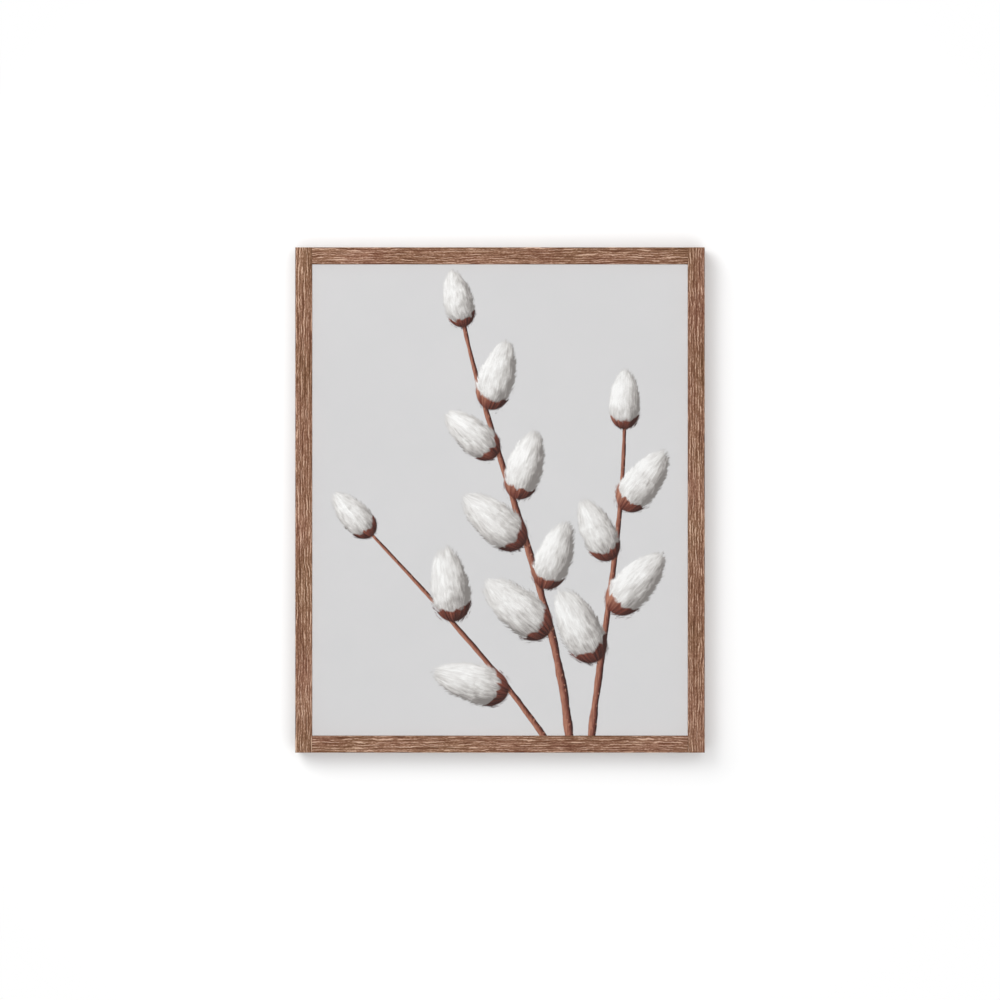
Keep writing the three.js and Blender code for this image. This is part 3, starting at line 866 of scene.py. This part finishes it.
made, recipe, shader = material("grey_rubber", ior=1.5)
point = recipe.object_point(scale=MM)
dust = recipe.noise(point, scale=0.5, detail=3.0)
grain = recipe.noise(point, scale=9.0, detail=2.0)
connect(
    recipe,
    shader,
    base_color=recipe.ramp(dust, (0.35, RUBBER_DARK), (0.7, RUBBER_DUSTY)),
    roughness=recipe.range(dust, 0.3, 0.7, 0.62, 0.8),
    normal=recipe.bump(grain, 0.03 * MM),
)
bpy.ops.object.select_all(action="DESELECT")
bpy.ops.mesh.primitive_cylinder_add(
    vertices=64,
    radius=BUMPER_PAD[0] * BUMPER_RADIUS,
    depth=BUMPER_PAD[1] * BUMPER_HEIGHT,
    location=(0, BUMPER_PAD[1] * BUMPER_HEIGHT / 2, 0),
    rotation=(pi / 2, 0, 0),
)
button = bpy.context.object
button.name = button.data.name = "button"
bpy.ops.object.transform_apply(location=True, rotation=True, scale=True)
bpy.ops.object.mode_set(mode="EDIT")
pick(button, "faces", lambda face: looks(face, 1))
width, height = BUMPER_PAD
for next_width, next_height in BUMPER_LINE:
    rise = (0, (next_height - height) * BUMPER_HEIGHT, 0)
    bpy.ops.mesh.extrude_region_move(TRANSFORM_OT_translate={"value": rise})
    bpy.ops.transform.resize(value=(next_width / width, 1, next_width / width))
    width, height = next_width, next_height
bpy.ops.object.mode_set(mode="OBJECT")
button.data.materials.append(made)
for node in ("bumper_left", "bumper_right"):
    copy = button.copy()
    copy.data = button.data.copy()
    copy.name = copy.data.name = f"rubber_{node}"
    bpy.context.collection.objects.link(copy)
    low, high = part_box(node)
    fit(copy, ((low.x + high.x) / 2, low.y, (low.z + high.z) / 2), 0, node)
bpy.data.objects.remove(button)

# ---------------------------------------------------------------------------------------------------------
# The wall, the floor, the light and the camera
# The frame hangs 3 mm off a white wall, over a pale floor. Both turn plain white further off and throw no
# light or shade on the frame, and the wall shows from the room's side only. The lamps are large and soft.

BACKDROP_SIZE = 6  # m
BACKDROP_COLOUR = (0.9, 0.9, 0.9)
WALL_GAP = 0.5 * MM
FLOOR_BELOW = 0.35  # m
FLOOR_FADE, WALL_FADE = (0.3, 1.2), (0.42, 0.7)  # m from the middle, where it starts and where it is white


def backdrop(name, location, turn, near, far):
    """A flat sheet that only the camera sees, which turns white between two distances from its middle."""
    bpy.ops.object.select_all(action="DESELECT")
    bpy.ops.mesh.primitive_plane_add(size=BACKDROP_SIZE, location=location, rotation=turn)
    plane = bpy.context.object
    plane.name = name
    plane.visible_shadow = plane.visible_diffuse = plane.visible_glossy = plane.visible_transmission = False
    made, recipe, shader = material(name, roughness=1.0, specular_ior_level=0.0, emission_color=(1, 1, 1, 1))
    reach = recipe.add("ShaderNodeVectorMath", {0: recipe.object_point()}, 1, operation="LENGTH")
    white = recipe.range(reach, near, far, smooth=True)
    colour = recipe.ramp(white, (0.0, BACKDROP_COLOUR), (1.0, (0, 0, 0)))
    connect(recipe, shader, base_color=colour, emission_strength=white)
    made.cycles.emission_sampling = "NONE"
    plane.data.materials.append(made)
    return recipe, shader


backdrop("floor", (0, 0, stile_low.z - FLOOR_BELOW), (0, 0, 0), *FLOOR_FADE)
recipe, shader = backdrop("wall", (0, WALL_GAP, frame_middle), (pi / 2, 0, 0), *WALL_FADE)
behind = recipe.add("ShaderNodeNewGeometry", output=6)
clear = recipe.add("ShaderNodeBsdfTransparent")
seen = recipe.add("ShaderNodeMixShader", {0: behind, 1: shader.outputs[0], 2: clear})
recipe.tree.links.new(seen, recipe.tree.nodes["Material Output"].inputs["Surface"])

WORLD_LIGHT = 0.2

studio = bpy.data.worlds.new("studio")
bpy.context.scene.world = studio
studio.use_nodes = True
recipe = Recipe(studio.node_tree)
seen = recipe.add("ShaderNodeLightPath")
sky = studio.node_tree.nodes["Background"]
sky.inputs["Color"].default_value = (1, 1, 1, 1)
recipe.tree.links.new(recipe.range(seen, 0.0, 1.0, WORLD_LIGHT, 1.0), sky.inputs["Strength"])

centre = (cad_low + cad_high) / 2
sheet_only = bpy.data.collections.new("sheet_only")
sheet_only.objects.link(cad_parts["print"])
all_but_sheet = bpy.data.collections.new("all_but_sheet")
all_but_sheet.objects.link(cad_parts["print"])
all_but_sheet.collection_objects[0].light_linking.link_state = "EXCLUDE"

LAMP_AWAY = 2.6  # m
LAMPS = (  # name, the way to it from the frame's middle, side in metres, watts
    ("key", (-1.0, -1.0, 0.94), 2.1, 40.5),
    ("front", (0, -1.0, 0), 4.8, 94),
    ("fill", (0.5, -1.0, -0.7), 2.0, 7),
    ("rear", (0.5, 1.0, 0.5), 1.5, 58),
)


def softbox(name, towards, size, power):
    """A square lamp, aimed at the frame's middle. Its twin lights the sheet without the shadow of the
    frame's lip, so that the print is evenly lit, as in a copying studio."""
    way = Vector(towards).normalized()
    for half, receivers in (("room", all_but_sheet), ("sheet", sheet_only)):
        bpy.ops.object.light_add(type="AREA", location=centre + way * LAMP_AWAY)
        lamp = bpy.context.object
        lamp.name = f"{name}_{half}"
        lamp.data.size = size
        lamp.data.energy = power
        lamp.data.use_shadow = half == "room"
        lamp.data.cycles.use_multiple_importance_sampling = half == "room"
        lamp.visible_glossy = name == "rear"  # the front ones would show as panes in the acrylic
        lamp.visible_transmission = False
        lamp.light_linking.receiver_collection = receivers
        lamp.rotation_euler = way.to_track_quat("Z", "Y").to_euler()


for lamp in LAMPS:
    softbox(*lamp)

LENS, SENSOR = 100, 36  # mm
VIEW_WIDTH = 1.0427  # m that the photograph's width takes in at the frame's face

bpy.ops.object.camera_add(
    location=(centre.x, cad_low.y - VIEW_WIDTH * LENS / SENSOR, centre.z), rotation=(pi / 2, 0, 0)
)
camera = bpy.context.object
camera.data.lens = LENS
camera.data.sensor_width = SENSOR
bpy.context.scene.camera = camera
bpy.context.scene.view_settings.view_transform = "Standard"
